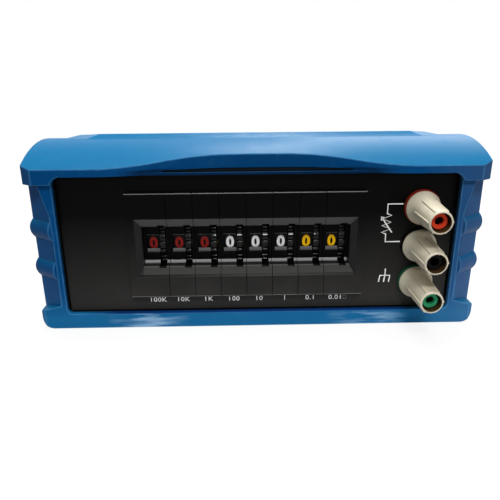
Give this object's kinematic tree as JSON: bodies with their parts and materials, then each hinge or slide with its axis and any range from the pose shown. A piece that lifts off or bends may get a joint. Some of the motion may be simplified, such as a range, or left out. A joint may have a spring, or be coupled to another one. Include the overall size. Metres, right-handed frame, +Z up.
{
  "type": "decade resistance box",
  "caption": "Bench decade resistance box: recessed bank of thumbwheel switches and coloured binding posts on a black panel, in a slim case held by a blue rubber boot.",
  "frame": {"origin": "middle of the boot's flat underside", "axes": "+Z up, +X along the width to the right of the panel, -Y out of the front panel"},
  "size_m": [0.2208, 0.127, 0.0915],
  "materials": {
    "boot_rubber": "satin blue rubber",
    "case_plastic": "moulded black plastic",
    "panel_paint": "satin black paint",
    "bank_plastic": "semi-gloss black moulding",
    "wheel_plastic": "black moulding",
    "board_laminate": "green laminate",
    "resistor_body": "lacquered winding",
    "steel": "plated steel",
    "brass": "turned brass",
    "bronze": "sprung bronze strip",
    "cap_plastic": "cream moulding",
    "red_plastic": "red moulding",
    "black_plastic": "black moulding",
    "green_plastic": "green moulding",
    "insulator_plastic": "ivory moulding",
    "wire_pvc": "white sleeving"
  },
  "bodies": {
    "root": {"rubber_boot": "boot_rubber", "case_tray": "case_plastic", "case_cover": "case_plastic", "front_panel": "panel_paint", "rear_panel": "panel_paint", "case_screws": "steel", "end_cheek_left": "bank_plastic", "end_cheek_right": "bank_plastic", "clamp_bracket_left": "steel", "clamp_bracket_right": "steel", "tie_rods": "steel", "tie_rod_nuts": "steel", "decade_boards": "board_laminate", "decade_resistors": "resistor_body", "detent_springs": "steel", "rear_insulators": "insulator_plastic", "solder_tags": "steel", "post_nuts": "steel", "lead_wires": "wire_pvc", "switch_housing_1": "bank_plastic", "switch_housing_2": "bank_plastic", "switch_housing_3": "bank_plastic", "switch_housing_4": "bank_plastic", "switch_housing_5": "bank_plastic", "switch_housing_6": "bank_plastic", "switch_housing_7": "bank_plastic", "switch_housing_8": "bank_plastic", "red_collar": "red_plastic", "red_sleeve": "red_plastic", "red_stem": "brass", "black_collar": "black_plastic", "black_sleeve": "black_plastic", "black_stem": "brass", "green_collar": "green_plastic", "green_sleeve": "green_plastic", "green_stem": "brass"},
    "wheel_1": {"digit_wheel_1": "wheel_plastic", "contact_wiper_1": "bronze"},
    "wheel_2": {"digit_wheel_2": "wheel_plastic", "contact_wiper_2": "bronze"},
    "wheel_3": {"digit_wheel_3": "wheel_plastic", "contact_wiper_3": "bronze"},
    "wheel_4": {"digit_wheel_4": "wheel_plastic", "contact_wiper_4": "bronze"},
    "wheel_5": {"digit_wheel_5": "wheel_plastic", "contact_wiper_5": "bronze"},
    "wheel_6": {"digit_wheel_6": "wheel_plastic", "contact_wiper_6": "bronze"},
    "wheel_7": {"digit_wheel_7": "wheel_plastic", "contact_wiper_7": "bronze"},
    "wheel_8": {"digit_wheel_8": "wheel_plastic", "contact_wiper_8": "bronze"},
    "red_ring": {"red_washer": "brass"},
    "red_turn": {"red_cap": "cap_plastic"},
    "black_ring": {"black_washer": "brass"},
    "black_turn": {"black_cap": "cap_plastic"},
    "green_ring": {"green_washer": "brass"},
    "green_turn": {"green_cap": "cap_plastic"}
  },
  "joints": [
    {"name": "wheel_1_turn", "type": "hinge", "parent": "root", "child": "wheel_1", "pos_m": [-0.0503, -0.0286, 0.0414], "axis": [1, 0, 0], "continuous": true, "deforming": ["detent_springs"]},
    {"name": "wheel_2_turn", "type": "hinge", "parent": "root", "child": "wheel_2", "pos_m": [-0.0376, -0.0286, 0.0414], "axis": [1, 0, 0], "continuous": true, "deforming": ["detent_springs"]},
    {"name": "wheel_3_turn", "type": "hinge", "parent": "root", "child": "wheel_3", "pos_m": [-0.0249, -0.0286, 0.0414], "axis": [1, 0, 0], "continuous": true, "deforming": ["detent_springs"]},
    {"name": "wheel_4_turn", "type": "hinge", "parent": "root", "child": "wheel_4", "pos_m": [-0.0122, -0.0286, 0.0414], "axis": [1, 0, 0], "continuous": true, "deforming": ["detent_springs"]},
    {"name": "wheel_5_turn", "type": "hinge", "parent": "root", "child": "wheel_5", "pos_m": [0.0005, -0.0286, 0.0414], "axis": [1, 0, 0], "continuous": true, "deforming": ["detent_springs"]},
    {"name": "wheel_6_turn", "type": "hinge", "parent": "root", "child": "wheel_6", "pos_m": [0.0132, -0.0286, 0.0414], "axis": [1, 0, 0], "continuous": true, "deforming": ["detent_springs"]},
    {"name": "wheel_7_turn", "type": "hinge", "parent": "root", "child": "wheel_7", "pos_m": [0.0259, -0.0286, 0.0414], "axis": [1, 0, 0], "continuous": true, "deforming": ["detent_springs"]},
    {"name": "wheel_8_turn", "type": "hinge", "parent": "root", "child": "wheel_8", "pos_m": [0.0386, -0.0286, 0.0414], "axis": [1, 0, 0], "continuous": true, "deforming": ["detent_springs"]},
    {"name": "red_travel", "type": "slide", "parent": "root", "child": "red_ring", "axis": [0, -1, 0], "range_m": [0, 0.005]},
    {"name": "red_unscrew", "type": "hinge", "parent": "red_ring", "child": "red_turn", "pos_m": [0.0785, -0.0686, 0.06015], "axis": [0, -1, 0], "range_deg": [0, 1800]},
    {"name": "black_travel", "type": "slide", "parent": "root", "child": "black_ring", "axis": [0, -1, 0], "range_m": [0, 0.005]},
    {"name": "black_unscrew", "type": "hinge", "parent": "black_ring", "child": "black_turn", "pos_m": [0.0785, -0.0686, 0.0411], "axis": [0, -1, 0], "range_deg": [0, 1800]},
    {"name": "green_travel", "type": "slide", "parent": "root", "child": "green_ring", "axis": [0, -1, 0], "range_m": [0, 0.005]},
    {"name": "green_unscrew", "type": "hinge", "parent": "green_ring", "child": "green_turn", "pos_m": [0.0785, -0.0686, 0.02205], "axis": [0, -1, 0], "range_deg": [0, 1800]}
  ],
  "couplings": [
    {"joint": "red_unscrew", "follows": "red_travel", "rad_per_m": 6283.2},
    {"joint": "black_unscrew", "follows": "black_travel", "rad_per_m": 6283.2},
    {"joint": "green_unscrew", "follows": "green_travel", "rad_per_m": 6283.2}
  ]
}
